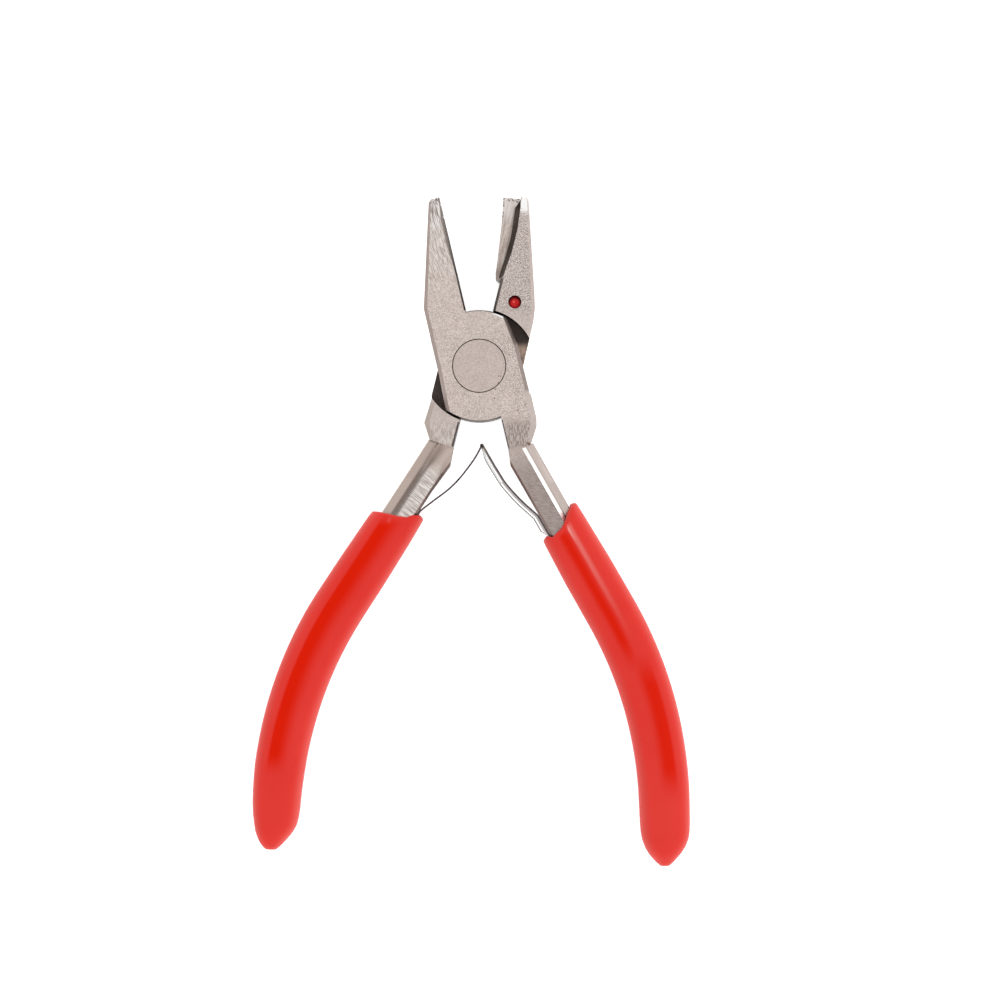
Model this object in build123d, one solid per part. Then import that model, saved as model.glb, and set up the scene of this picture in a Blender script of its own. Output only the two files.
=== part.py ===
"""Spring-opened crimping pliers for jewellery work, every piece its own solid.

Frame: +Z up, millimetres.  The pliers lie flat, underside on Z = 0, jaws
pointing to +Y, handles to -Y.  The pivot axis is the line X = Y = 0.
Written in the rest pose: jaws fully open, spring tips meeting in the middle.

Each lever is described in its own closed frame, in which its jaw face lies on
X = 0, and is then turned about the pivot to its open position.
"""
import os
from math import cos, radians, sin

from build123d import *

os.makedirs("parts", exist_ok=True)

# ---- driving dimensions ---------------------------------------------------
HEAD_T = 9.2            # thickness of jaws and joint
MID_Z = HEAD_T / 2      # half-lap plane and middle of handles
LAP_GAP = 0.10          # gap between the two half-lap plates
FRONT_OPEN = 13.2       # front lever, degrees from its closed position
REAR_OPEN = 13.8        # rear lever, degrees from its closed position

PLATE_R = 11.1          # round ends of the half-lap plates
SHOULDER_R = 11.4       # hollow shoulders that face those round ends
PLATE_SIDE = 8.4        # flat side of the front plate
REAR_SIDE = 7.95        # flat side of the rear plate
ARC_EDGE = (0.24, 0.5)  # broken edge round the plates: width, depth
FACE_BACK = 0.03        # each jaw face stands this far off the closed line

RIVET_R = 5.34
RIVET_PLAY = 0.05       # running clearance in the front plate
RIVET_EDGE = 0.16       # small chamfer round both rivet faces

DOT_R = 1.31            # coloured marker on the right jaw
DOT_DEPTH = 1.1
DOT_XY = (3.85, 14.0)

NEST_R = 0.32           # crimp nests ground across the jaw tips
NEST_Y = (33.1, 30.6)

LEDGE_TOP = 4.25        # stepped floor carried by the rear jaw
LEDGE_GAP = 0.35        # clearance of the front jaw round that floor
GROOVE_FLOOR = 1.6      # bottom of the groove between floor and jaw

SHAFT_HALF_T = 3.4      # half thickness of the handle shafts
SHAFT_OUT = 3.1         # shaft centreline to outer side
SHAFT_IN = 3.0          # shaft centreline to inner side
CORE_STOP = 9.0         # steel core ends this far before the grip tip

GRIP_HALF_T = 4.46
GRIP_FLAT = 0.85        # half width of the small flat at the grip tip

LEAF_T = 0.36           # spring strip thickness
LEAF_W = 4.0            # spring strip width, along Z
LEAF_HINGE_S = 10.9     # where the strip leaves the shaft
LEAF_OFF = 0.24         # strip centreline to shaft side
FORK_L = 5.8            # length of fork and tongue at the strip tips
FORK_W = 2.2
TONGUE_W = 1.4
TIP_R = 0.38            # rolled end of the tongue
SCREW_R = 0.8           # rivet that holds the strip
SCREW_HEAD_R = 1.35
SCREW_HEAD_H = 0.55


class Handle:
    """Straight run, one bend, short straight end; s runs from the root."""

    def __init__(self, side, start, angle, run, bend_r, end_angle, tail):
        self.side = side
        self.start = Vector(*start)
        self.a0 = radians(angle)
        self.a1 = radians(end_angle)
        self.run = run
        self.r = bend_r
        self.bend = bend_r * (self.a0 - self.a1)
        self.length = run + self.bend + tail

    def along(self, a):
        return Vector(self.side * sin(a), -cos(a))

    def outward(self, a):
        return Vector(self.side * cos(a), sin(a))

    def angle(self, s):
        if s <= self.run:
            return self.a0
        if s >= self.run + self.bend:
            return self.a1
        return self.a0 - (s - self.run) / self.r

    def point(self, s, u=0.0):
        """Plan position at length s and offset u to the outer side."""
        a = self.angle(s)
        p = self.start + self.along(self.a0) * min(s, self.run)
        if s > self.run:
            p = p + (self.outward(a) - self.outward(self.a0)) * self.r
        if s > self.run + self.bend:
            p = p + self.along(a) * (s - self.run - self.bend)
        return p + self.outward(a) * u

    def plane(self, s, u=0.0):
        """Section plane: local x outward, local y along Z."""
        a = self.angle(s)
        p = self.point(s, u)
        x_dir = self.outward(a)
        z_dir = self.along(a) * self.side
        return Plane(
            origin=(p.X, p.Y, MID_Z),
            x_dir=(x_dir.X, x_dir.Y, 0),
            z_dir=(z_dir.X, z_dir.Y, 0),
        )

    def core_path(self, s0, s1):
        mid = self.run + self.bend / 2
        knee = self.run + self.bend
        p = [self.point(s) for s in (s0, self.run, mid, knee, s1)]
        p = [(q.X, q.Y, MID_Z) for q in p]
        return Wire([
            Edge.make_line(p[0], p[1]),
            Edge.make_three_point_arc(p[1], p[2], p[3]),
            Edge.make_line(p[3], p[4]),
        ])


# handles, each in the closed frame of its own lever
front_handle = Handle(+1, (4.47, -19.85), 16.45, 35.5, 81.4, -11.4, 13.2)
rear_handle = Handle(-1, (-3.80, -18.95), 19.32, 35.6, 80.5, -10.9, 9.6)


def prism(points, z0, z1):
    """Upright solid on a closed polygon."""
    outline = Polyline(*points, close=True)
    return Pos(0, 0, z0) * extrude(make_face(outline), z1 - z0)


def disc(radius, z0, z1, xy=(0, 0)):
    mid = (z0 + z1) / 2
    return Pos(xy[0], xy[1], mid) * Cylinder(radius, z1 - z0)


def half_plate(z0, z1, side, outer_z):
    """Round half-lap plate with straight flanks and a broken outer arc."""
    plate = disc(PLATE_R, z0, z1)
    arc = plate.edges().filter_by(GeomType.CIRCLE)
    arc = arc.filter_by_position(Axis.Z, outer_z - 0.01, outer_z + 0.01)
    face = plate.faces().filter_by_position(
        Axis.Z, outer_z - 0.01, outer_z + 0.01)[0]
    plate = chamfer(arc, ARC_EDGE[0], ARC_EDGE[1], reference=face)
    return plate & side


def open_front(shape):
    return Rot(0, 0, FRONT_OPEN) * shape


def open_rear(shape):
    return Rot(0, 0, -REAR_OPEN) * shape


# step between the ground flat and the outer strip: (offset, drop)
STEEP_STEP = [(0.62, 0.0), (1.57, 0.95)]
HOLLOW_STEP = [(0.05, 0.0), (0.55, 0.22), (1.0, 0.6), (1.4, 1.1)]


def shaft_section(inner, outer, half, step):
    """Ground shaft: wide flat, a step down, then a lower outer strip."""
    top = [(-inner, half - 0.65), (-inner + 0.42, half - 0.04)]
    top += [(u, half - drop) for u, drop in step]
    top += [(outer - 0.25, half - 1.35), (outer, half - 1.7)]
    low = [(u, -z) for u, z in reversed(top)]
    return top + low


def shaft(handle, seam_y, root_in, step):
    """Tapering root, then the constant core that runs inside the grip."""
    taper = []
    for s, inner, half in ((-4.0, root_in, 4.55), (7.0, SHAFT_IN, SHAFT_HALF_T)):
        pts = shaft_section(inner, SHAFT_OUT, half, step)
        face = make_face(Polyline(*pts, close=True))
        taper.append(handle.plane(s) * face)
    root = loft(taper, ruled=True)
    end = handle.length - CORE_STOP
    pts = shaft_section(SHAFT_IN, SHAFT_OUT, SHAFT_HALF_T, step)
    face = handle.plane(7.0) * make_face(Polyline(*pts, close=True))
    core = sweep(face, path=handle.core_path(7.0, end))
    above = Pos(0, seam_y + 20, MID_Z) * Box(60, 40, 20)
    return (root + core) - above


def bevel(solid, z, points, deep, wide, outside, begin=1.0):
    """Cut a flat bevel along a run of plan points on the face at height z.

    outside is +1 where the outer side lies left of the run, -1 where right;
    begin is the share of the full size that the first segment starts with.
    """
    up = 1 if z > MID_Z else -1
    overrun = 0.35
    profile = [
        (-1.6 * wide, 0.6 * deep),
        (0.6 * wide, -1.6 * deep),
        (0.6 * wide, 0.6 * deep),
    ]
    size = begin
    for a, b in zip(points[:-1], points[1:]):
        a = Vector(*a)
        b = Vector(*b)
        d = (b - a).normalized()
        n = Vector(-d.Y, d.X) * outside
        ends = []
        for at, share in ((a - d * overrun, size), (b + d * overrun, 1.0)):
            place = Plane(origin=(at.X, at.Y, z), x_dir=(n.X, n.Y, 0),
                          z_dir=(d.X, d.Y, 0))
            # local y of that plane points up or down, depending on the side
            flip = up if place.y_dir.Z > 0 else -up
            corners = [(x * share, y * share * flip) for x, y in profile]
            ends.append(place * make_face(Polyline(*corners, close=True)))
        solid -= loft(ends, ruled=True)
        size = 1.0
    return solid


# ---- front lever: left jaw, front plate, right handle ----------------------
FRONT_JAW = [(-FACE_BACK, 34.5), (-1.7, 34.45), (-2.4, 33.9), (-8.15, 13.6),
             (-8.2, 0)]
FRONT_TIP = FRONT_JAW[:3]
FRONT_LEFT = FRONT_JAW[2:] + [(-8.5, -7.1)]
FRONT_FACE = [(-FACE_BACK, 11.7), (-FACE_BACK, 34.2)]
FRONT_THROAT = [(1.9, -11.8), (1.9, -17.0)]
FRONT_FLANK = [(7.6, 8.1), (PLATE_SIDE, 2.5), (8.55, -7.4)]
FRONT_ROOT = [(8.4, 0), (8.55, -7.6), (8.75, -7.9), (8.75, -12.7),
              (8.4, -14.3), (6.55, -17.4)]

plate_side = prism(
    [(7.6, 8.1), (PLATE_SIDE, 2.5), (8.55, -7.6), (8.55, -12),
     (-8.5, -12), (-8.5, -7.1), (-8.2, 0), (-8.2, 12), (7.0, 12)],
    MID_Z + LAP_GAP / 2, HEAD_T)
front_plate = half_plate(MID_Z + LAP_GAP / 2, HEAD_T, plate_side, HEAD_T)

jaw = prism(FRONT_JAW + [(-FACE_BACK, 0)], 0, HEAD_T)
root = prism([(1.9, 0)] + FRONT_ROOT + [(1.9, -17.4)], 0, HEAD_T)
stock = jaw + root
# the rear half is hollowed for the other lever's round plate
stock -= disc(SHOULDER_R, -1, MID_Z + LAP_GAP / 2)
stock -= Pos(0, 0, MID_Z / 2 - 0.5) * Box(15.8, 12, MID_Z + 1 + LAP_GAP)

# rebate that lets the stepped floor of the other jaw pass
rebate = prism(
    [(1, 36), (-9, 36), (-9, 29.0), (-3.2, 28.2), (-2.0, 22.0),
     (-1.4, 17.3), (1, 17.3)],
    -1, LEDGE_TOP + LEDGE_GAP)
stock -= rebate
nests = [disc(NEST_R, -1, HEAD_T + 1, (0, y)) for y in NEST_Y]
stock -= nests

front_shaft = shaft(front_handle, -17.4, 3.07, STEEP_STEP)
front_shaft -= prism([(1.9, -17.3), (1.55, -20.75), (-6, -20.75), (-6, -17.3)],
                     -1, HEAD_T + 1)
front_lever = stock + front_plate + front_shaft
front_lever -= disc(RIVET_R + RIVET_PLAY, -1, HEAD_T + 1)
for face_z in (0, HEAD_T):
    front_lever = bevel(front_lever, face_z, FRONT_LEFT, 0.5, 0.72, -1, 0.7)
    front_lever = bevel(front_lever, face_z, FRONT_TIP, 0.3, 0.3, -1)
    front_lever = bevel(front_lever, face_z, FRONT_ROOT[2:], 0.8, 1.25, 1)
front_lever = bevel(front_lever, HEAD_T, FRONT_FACE, 0.8, 0.4, -1)
front_lever = bevel(front_lever, HEAD_T, FRONT_FLANK, 0.7, 0.75, 1)
front_lever = bevel(front_lever, HEAD_T, FRONT_THROAT, 0.45, 0.2, -1)

# ---- rear lever: right jaw, rear plate, left handle ------------------------
REAR_OUTER = [(1.3, 34.7), (1.7, 34.35), (7.35, 16.3), (8.05, 13.8),
              (8.35, 11.5), (8.5, 2.0), (8.5, -2)]
REAR_INNER = [(FACE_BACK, 11.0), (FACE_BACK, 17.7), (0.42, 18.6), (0.9, 23.5),
              (0.95, 28.0), (0.45, 32.8), (FACE_BACK, 34.6)]
REAR_FACE = [(FACE_BACK, 11.7), (FACE_BACK, 17.7)]
REAR_THROAT = [(-1.15, -12.2), (-1.2, -16.5)]
REAR_FLANK = [(-7.6, 8.1), (-REAR_SIDE, 2.5), (-REAR_SIDE, -7.7)]
REAR_ROOT = [(-REAR_SIDE, 0), (-REAR_SIDE, -7.9), (-7.65, -8.6),
             (-7.95, -13.6), (-6.1, -16.6)]

rear_side = prism(
    [(-7.6, 8.1), (-REAR_SIDE, 2.5), (-REAR_SIDE, -12), (8.4, -12),
     (8.5, -7.1), (8.5, 2.0), (8.35, 11.5), (-7.0, 12)],
    0, MID_Z - LAP_GAP / 2)
rear_plate = half_plate(0, MID_Z - LAP_GAP / 2, rear_side, 0)

jaw = prism(REAR_INNER + REAR_OUTER[:-1] + [(8.5, 0), (FACE_BACK, 0)],
            0, HEAD_T)
ledge = prism(
    [(FACE_BACK, 17.6), (-0.33, 17.6), (-1.03, 18.0), (-1.34, 19.1),
     (-1.66, 22.2), (-2.66, 29.85), (-3.45, 34.2), (-0.4, 34.65), (1.5, 34.6),
     (1.5, 17.6)],
    0, LEDGE_TOP)
groove = prism(
    [(-0.5, 18.3), (-0.2, 22.5), (-0.05, 26.4), (-0.6, 32.8), (-0.1, 34.2),
     (0.03, 34.4), (0.45, 32.8), (0.95, 28.0), (0.9, 23.5), (0.42, 18.6)],
    GROOVE_FLOOR, LEDGE_TOP + 1)
root = prism([(-1.1, 0)] + REAR_ROOT + [(-1.2, -17.1)], 0, HEAD_T)
stock = jaw + root
stock -= disc(SHOULDER_R, MID_Z - LAP_GAP / 2, HEAD_T + 1)
stock -= Pos(0, 0, HEAD_T - MID_Z / 2 + 0.5) * Box(
    15.2, 12, MID_Z + 1 + LAP_GAP)
stock = (stock + ledge) - groove
stock -= [disc(NEST_R, LEDGE_TOP, HEAD_T + 1, (0, y)) for y in NEST_Y]

rear_shaft = shaft(rear_handle, -16.55, 3.55, HOLLOW_STEP)
rear_shaft -= prism([(-1.2, -16.5), (-0.9, -21.3), (6, -21.3), (6, -16.5)],
                    -1, HEAD_T + 1)
rear_lever = stock + rear_plate + rear_shaft
rear_lever -= disc(RIVET_R, -1, HEAD_T + 1)
rear_lever -= disc(DOT_R, HEAD_T - DOT_DEPTH, HEAD_T + 1, DOT_XY)
for face_z in (0, HEAD_T):
    rear_lever = bevel(rear_lever, face_z, REAR_OUTER[:2], 0.3, 0.3, 1)
    rear_lever = bevel(rear_lever, face_z, REAR_OUTER[1:], 0.5, 0.75, 1, 0.45)
    rear_lever = bevel(rear_lever, face_z, REAR_ROOT[2:], 0.6, 0.9, -1)
rear_lever = bevel(rear_lever, HEAD_T, REAR_FACE, 0.8, 0.4, 1)
rear_lever = bevel(rear_lever, HEAD_T, REAR_THROAT, 0.7, 0.34, 1)
rear_lever = bevel(rear_lever, 0, REAR_FLANK, 0.6, 0.55, -1)

# ---- pivot rivet and marker -------------------------------------------------
pivot_rivet = disc(RIVET_R, 0, HEAD_T)
pivot_rivet = chamfer(pivot_rivet.edges().filter_by(GeomType.CIRCLE),
                      RIVET_EDGE)

dot_base = disc(DOT_R, HEAD_T - DOT_DEPTH, HEAD_T - 0.75, DOT_XY)
dome = Pos(DOT_XY[0], DOT_XY[1], HEAD_T - 2.6) * Sphere(2.28)
dome &= disc(DOT_R, HEAD_T - 0.76, HEAD_T, DOT_XY)
marking_dot = dot_base + dome


# ---- springs ---------------------------------------------------------------
def tang(handle, length):
    """Flat end of the strip, lying on the inner side of the shaft."""
    s0 = LEAF_HINGE_S + LEAF_T / 2 + 0.04
    u = -(SHAFT_IN + LEAF_OFF)
    p = handle.plane((s0 + length) / 2, u)
    strip = p * Box(2 * (LEAF_OFF - 0.001), LEAF_W, length - s0)
    return strip


def screw(handle, s):
    """Small domed rivet through the strip into the shaft."""
    face = -(SHAFT_IN + 2 * LEAF_OFF)
    p = handle.plane(s, face)
    lay = Rot(0, 90, 0)
    shank = p * Pos(1.6, 0, 0) * lay * Cylinder(SCREW_R, 3.2)
    head = p * Pos(-SCREW_HEAD_H / 2, 0, 0) * lay * Cylinder(
        SCREW_HEAD_R, SCREW_HEAD_H)
    return shank + head


def to_rest(point, turn):
    """A plan point of a closed lever frame, turned to the rest pose."""
    a = radians(turn)
    return (point.X * cos(a) - point.Y * sin(a),
            point.X * sin(a) + point.Y * cos(a))


def blade(points):
    """Thin bowed strip on a plan centreline, both ends rounded."""
    line = Spline(*points)
    count = 9
    left = []
    right = []
    for i in range(count):
        t = i / (count - 1)
        p = line @ t
        d = line % t
        n = Vector(-d.Y, d.X) * (LEAF_T / 2)
        left.append((p.X + n.X, p.Y + n.Y))
        right.append((p.X - n.X, p.Y - n.Y))
    d0 = (line % 0) * (LEAF_T / 2)
    d1 = (line % 1) * (LEAF_T / 2)
    p0 = line @ 0
    p1 = line @ 1
    outline = [
        Spline(*left),
        ThreePointArc(left[-1], (p1.X + d1.X, p1.Y + d1.Y), right[-1]),
        Spline(*right),
        ThreePointArc(left[0], (p0.X - d0.X, p0.Y - d0.Y), right[0]),
    ]
    face = make_face(Curve(children=outline).edges())
    return Pos(0, 0, MID_Z - LEAF_W / 2) * extrude(face, LEAF_W)


hinge_u = -(SHAFT_IN + LEAF_OFF)
left_hinge = to_rest(rear_handle.point(LEAF_HINGE_S, hinge_u), -REAR_OPEN)
right_hinge = to_rest(front_handle.point(LEAF_HINGE_S, hinge_u), FRONT_OPEN)

LEFT_TIP = (0.5, -15.75)
RIGHT_TIP = (0.75, -15.8)
left_line = [left_hinge, (-9.2, -26.85), (-6.4, -24.75), (-4.4, -22.85),
             (-2.6, -20.65), (-0.85, -18.2), LEFT_TIP]
right_line = [right_hinge, (8.4, -26.8), (5.45, -23.55), (3.9, -21.2),
              (2.45, -18.8), RIGHT_TIP]

left_blade = blade(left_line)
side_w = (LEAF_W - TONGUE_W) / 2 + 1
for sign in (-1, 1):
    z = MID_Z + sign * (TONGUE_W + side_w) / 2
    left_blade -= Pos(LEFT_TIP[0], LEFT_TIP[1], z) * Cylinder(FORK_L, side_w)
left_blade += Pos(LEFT_TIP[0], LEFT_TIP[1], MID_Z) * Cylinder(TIP_R, TONGUE_W)

right_blade = blade(right_line)
right_blade -= Pos(RIGHT_TIP[0], RIGHT_TIP[1], MID_Z) * Cylinder(FORK_L, FORK_W)

left_tang = tang(rear_handle, 21.5)
left_screw = screw(rear_handle, 17.0)
right_tang = tang(front_handle, 25.0)
right_screw = screw(front_handle, 20.5)
left_tang -= left_screw
right_tang -= right_screw
rear_lever -= left_screw
front_lever -= right_screw


# ---- dipped grips -----------------------------------------------------------
def grip(handle, widths, mouth):
    """Dipped sleeve: oval sections along the handle, bullet-shaped end.

    widths: (length s, half width) stations; mouth: (s, u) points of its rim.
    """
    sections = []
    for s, half_w in widths:
        half_t = min(GRIP_HALF_T, half_w * 0.96)
        sections.append(handle.plane(s) * Ellipse(half_w, half_t))
    body = loft(sections)
    rim = [handle.point(s, u) for s, u in mouth]
    rim = [(p.X, p.Y) for p in rim]
    far = [handle.point(0, mouth[-1][1]), handle.point(0, mouth[0][1])]
    far = [(p.X, p.Y) for p in far]
    outline = [Spline(*rim), Polyline(rim[-1], far[0], far[1], rim[0])]
    cut = make_face(Curve(children=outline).edges())
    return body - Pos(0, 0, -5) * extrude(cut, HEAD_T + 10)


front_end = front_handle.length
right_grip = grip(
    front_handle,
    [(9, 4.78), (18, 4.98), (26, 5.22), (40, 5.28), (60, 5.24), (75, 5.12),
     (front_end - 9, 5.06), (front_end - 5.5, 4.78), (front_end - 3.2, 3.92),
     (front_end - 1.2, 2.15), (front_end, GRIP_FLAT)],
    [(12.2, 6.5), (13.0, 4.2), (14.8, 1.5), (15.8, -0.5), (16.7, -4.2),
     (17.0, -6.5)],
)
rear_end = rear_handle.length
left_grip = grip(
    rear_handle,
    [(9, 4.72), (18, 5.00), (28, 5.22), (40, 5.28), (60, 5.22), (71, 5.10),
     (rear_end - 9, 4.84), (rear_end - 5.2, 4.36), (rear_end - 3.0, 3.50),
     (rear_end - 1.2, 2.12), (rear_end, GRIP_FLAT)],
    [(17.4, 6.5), (16.6, 4.2), (14.6, 0.5), (13.4, -2.5), (12.9, -4.6),
     (12.7, -6.5)],
)
left_grip = left_grip - rear_lever - left_tang - left_screw
right_grip = right_grip - front_lever - right_tang - right_screw

# ---- turn to the rest pose and write ---------------------------------------
nodes = {
    "front_lever": open_front(front_lever),
    "rear_lever": open_rear(rear_lever),
    "pivot_rivet": pivot_rivet,
    "marking_dot": open_rear(marking_dot),
    "left_spring_tang": open_rear(left_tang),
    "left_spring_blade": left_blade,
    "left_spring_rivet": open_rear(left_screw),
    "right_spring_tang": open_front(right_tang),
    "right_spring_blade": right_blade,
    "right_spring_rivet": open_front(right_screw),
    "left_grip": open_rear(left_grip),
    "right_grip": open_front(right_grip),
}
for name, shape in nodes.items():
    export_step(shape, f"parts/{name}.step")
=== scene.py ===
"""Crimping pliers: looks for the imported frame, in metres, in the same frame."""

import math

import bmesh
import bpy
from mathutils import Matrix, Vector, noise


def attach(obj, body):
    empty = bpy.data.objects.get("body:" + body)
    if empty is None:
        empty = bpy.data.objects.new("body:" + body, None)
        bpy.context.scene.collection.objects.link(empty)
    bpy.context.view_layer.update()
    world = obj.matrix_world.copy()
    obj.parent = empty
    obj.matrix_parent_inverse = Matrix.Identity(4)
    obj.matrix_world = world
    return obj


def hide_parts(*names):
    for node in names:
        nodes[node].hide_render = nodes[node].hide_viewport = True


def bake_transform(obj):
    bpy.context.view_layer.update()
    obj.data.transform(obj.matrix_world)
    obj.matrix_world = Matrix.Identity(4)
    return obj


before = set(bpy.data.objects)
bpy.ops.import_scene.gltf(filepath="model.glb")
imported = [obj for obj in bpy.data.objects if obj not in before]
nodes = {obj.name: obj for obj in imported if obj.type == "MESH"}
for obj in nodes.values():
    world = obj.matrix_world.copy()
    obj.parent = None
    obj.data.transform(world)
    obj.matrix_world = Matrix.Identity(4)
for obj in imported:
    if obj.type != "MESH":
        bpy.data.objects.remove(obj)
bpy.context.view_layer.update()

MM = 0.001
MID_Z = 4.6             # middle of the pliers, mm above the surface
FRONT_TURN = 13.2       # degrees, front lever from closed to rest
REAR_TURN = -13.8
PLATE_R = 11.1          # round ends of the half-lap plates, mm
LAP_Z = 4.6             # height of the sliding faces
LEDGE_Z = 4.25          # top of the rear jaw's ledge
FRONT_SEAM = -17.35     # where each shaft starts, below its root
REAR_SEAM = -16.85
DOT_AT = (3.75, 13.85)  # marking dot, in the closed frame of the rear lever


# ---- handle paths, as the steel cores run ------------------------------------
class Handle:
    """Straight run, one bend, short straight end, turned to the rest pose."""

    def __init__(self, side, start, angle, run, bend_r, end_angle, tail, turn):
        t = math.radians(turn)
        c, s = math.cos(t), math.sin(t)
        self.side = side
        self.start = (start[0] * c - start[1] * s, start[0] * s + start[1] * c)
        self.a0 = math.radians(angle + side * turn)
        self.a1 = math.radians(end_angle + side * turn)
        self.run = run
        self.r = bend_r
        self.bend = bend_r * (self.a0 - self.a1)
        self.length = run + self.bend + tail

    def angle(self, s):
        if s <= self.run:
            return self.a0
        return max(self.a1, self.a0 - (s - self.run) / self.r)

    def out(self, a):
        return self.side * math.cos(a), math.sin(a)

    def along(self, a):
        return self.side * math.sin(a), -math.cos(a)

    def point(self, s, u=0.0, v=0.0):
        """mm: length s, offset u outward and v upward from the middle."""
        a = self.angle(s)
        d0 = self.along(self.a0)
        n0, n = self.out(self.a0), self.out(a)
        d = self.along(a)
        k = min(s, self.run)
        x = self.start[0] + d0[0] * k
        y = self.start[1] + d0[1] * k
        if s > self.run:
            x += (n[0] - n0[0]) * self.r
            y += (n[1] - n0[1]) * self.r
        over = max(0.0, s - self.run - self.bend)
        x += d[0] * over + n[0] * u
        y += d[1] * over + n[1] * u
        return Vector((x, y, MID_Z + v)) * MM


# start of the shaft and its angle, both in the closed frame, then run, bend
# radius, end angle, tail and turn
right_h = Handle(+1, (4.47, -19.85), 16.45, 35.5, 81.4, -11.4, 13.2, FRONT_TURN)
left_h = Handle(-1, (-3.80, -18.95), 19.32, 35.6, 80.5, -10.9, 9.6, REAR_TURN)


# ---- material graphs ----------------------------------------------------------
class Graph:
    """Short calls for building one material's node tree."""

    def __init__(self, name):
        self.mat = bpy.data.materials.new(name)
        self.mat.use_nodes = True
        self.tree = self.mat.node_tree
        self.tree.nodes.clear()
        self.out = self.tree.nodes.new("ShaderNodeOutputMaterial")
        self.bsdf = self.tree.nodes.new("ShaderNodeBsdfPrincipled")
        self.link(self.bsdf.outputs[0], self.out.inputs[0])
        tex = self.tree.nodes.new("ShaderNodeTexCoord")
        self.coord = tex.outputs["Object"]
        self.normal = tex.outputs["Normal"]

    def link(self, a, b):
        self.tree.links.new(a, b)

    def put(self, value, socket):
        if hasattr(value, "is_output"):
            self.link(value, socket)
        elif socket.type == "RGBA" and isinstance(value, tuple):
            socket.default_value = (*value, 1.0)
        else:
            socket.default_value = value

    def math(self, op, a, b=0.0):
        n = self.tree.nodes.new("ShaderNodeMath")
        n.operation = op
        self.put(a, n.inputs[0])
        self.put(b, n.inputs[1])
        return n.outputs[0]

    def times(self, *factors):
        out = factors[0]
        for f in factors[1:]:
            out = self.math("MULTIPLY", out, f)
        return out

    def distance(self, dx, dy):
        """Length of a plan offset."""
        return self.math("SQRT", self.math(
            "ADD", self.times(dx, dx), self.times(dy, dy)))

    def split(self, vector):
        n = self.tree.nodes.new("ShaderNodeSeparateXYZ")
        self.link(vector, n.inputs[0])
        return n.outputs

    def along(self, direction, origin=(0, 0)):
        """How far the point lies from origin along a plan direction, mm."""
        dx, dy = direction
        n = self.tree.nodes.new("ShaderNodeVectorMath")
        n.operation = "DOT_PRODUCT"
        self.link(self.coord, n.inputs[0])
        n.inputs[1].default_value = (dx * 1000, dy * 1000, 0)
        shift = origin[0] * dx + origin[1] * dy
        return self.math("SUBTRACT", n.outputs["Value"], shift)

    def plan(self, turn=0.0, origin=(0, 0)):
        """Plan coordinates, mm, in a frame turned by some degrees."""
        c, s = math.cos(math.radians(turn)), math.sin(math.radians(turn))
        return self.along((c, s), origin), self.along((-s, c), origin)

    def height(self):
        return self.times(self.split(self.coord)[2], 1000.0)

    def grid(self, x, y, sx, sy):
        """Texture vector from two mm coordinates, with a scale for each."""
        n = self.tree.nodes.new("ShaderNodeCombineXYZ")
        self.link(self.times(x, sx), n.inputs[0])
        self.link(self.times(y, sy), n.inputs[1])
        return n.outputs[0]

    def mapped(self, scale=(1, 1, 1), move=(0, 0, 0)):
        n = self.tree.nodes.new("ShaderNodeMapping")
        self.link(self.coord, n.inputs["Vector"])
        n.inputs["Location"].default_value = move
        n.inputs["Scale"].default_value = scale
        return n.outputs[0]

    def attribute(self, name):
        n = self.tree.nodes.new("ShaderNodeAttribute")
        n.attribute_name = name
        return n.outputs["Fac"]

    def noise(self, vector, scale, detail=3.0, rough=0.55):
        n = self.tree.nodes.new("ShaderNodeTexNoise")
        self.link(vector, n.inputs["Vector"])
        n.inputs["Scale"].default_value = scale
        n.inputs["Detail"].default_value = detail
        n.inputs["Roughness"].default_value = rough
        return n.outputs[0]

    def voronoi(self, vector, scale):
        n = self.tree.nodes.new("ShaderNodeTexVoronoi")
        self.link(vector, n.inputs["Vector"])
        n.inputs["Scale"].default_value = scale
        return n.outputs["Distance"]

    def band(self, value, lo, hi, out_lo=0.0, out_hi=1.0):
        """Smooth step; lo may lie above hi."""
        n = self.tree.nodes.new("ShaderNodeMapRange")
        n.interpolation_type = "SMOOTHSTEP"
        self.link(value, n.inputs["Value"])
        for key, v in (("From Min", lo), ("From Max", hi),
                       ("To Min", out_lo), ("To Max", out_hi)):
            n.inputs[key].default_value = v
        return n.outputs[0]

    def window(self, value, a, b, soft=0.15):
        """1 between a and b, fading over the soft width at both ends."""
        return self.times(self.band(value, a - soft, a + soft),
                          self.band(value, b + soft, b - soft))

    def ramp(self, value, stops):
        n = self.tree.nodes.new("ShaderNodeValToRGB")
        self.link(value, n.inputs[0])
        e = n.color_ramp.elements
        while len(e) < len(stops):
            e.new(0.5)
        for item, (pos, col) in zip(e, stops):
            item.position = pos
            item.color = (*col, 1)
        return n.outputs[0]

    def mix(self, fac, a, b, mode="MIX"):
        n = self.tree.nodes.new("ShaderNodeMix")
        n.data_type = "RGBA"
        n.blend_type = mode
        self.put(fac, n.inputs[0])
        self.put(a, n.inputs[6])
        self.put(b, n.inputs[7])
        return n.outputs[2]

    def bump(self, height, distance, strength=1.0):
        n = self.tree.nodes.new("ShaderNodeBump")
        n.inputs["Strength"].default_value = strength
        n.inputs["Distance"].default_value = distance
        self.link(height, n.inputs["Height"])
        return n.outputs[0]


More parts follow.
